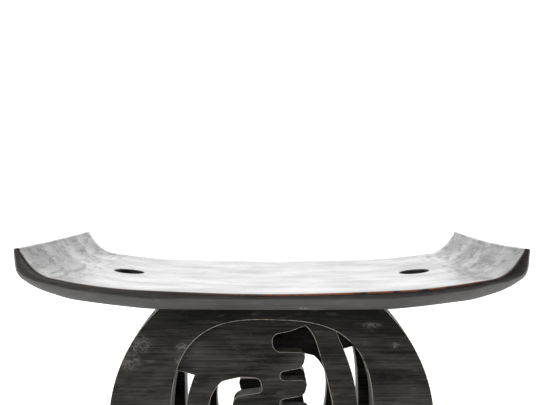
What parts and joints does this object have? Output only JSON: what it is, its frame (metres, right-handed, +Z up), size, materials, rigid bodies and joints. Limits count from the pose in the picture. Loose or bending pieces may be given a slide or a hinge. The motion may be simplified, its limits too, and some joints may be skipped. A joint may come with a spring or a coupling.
{
  "type": "carved stool",
  "caption": "Carved crescent stool: upswept seat board on a round drum with knuckled openwork panels, standing on a flat slab.",
  "frame": {"origin": "on the floor, under the middle of the base slab and of the seat", "axes": "+X along the seat, +Y from front to back, +Z up"},
  "size_m": [0.56, 0.288, 0.396],
  "materials": {
    "seat_wood": "black stain, waxed and rubbed to a gloss",
    "drum_wood": "black stain, waxed, worn pale along its edges"
  },
  "bodies": {
    "root": {"seat_board": "seat_wood", "front_ring": "drum_wood", "rear_ring": "drum_wood", "front_spine": "drum_wood", "front_upper_arm": "drum_wood", "front_lower_arm": "drum_wood", "rear_spine": "drum_wood", "rear_upper_arm": "drum_wood", "rear_lower_arm": "drum_wood", "left_wall": "drum_wood", "right_wall": "drum_wood", "base_slab": "drum_wood"}
  },
  "joints": []
}
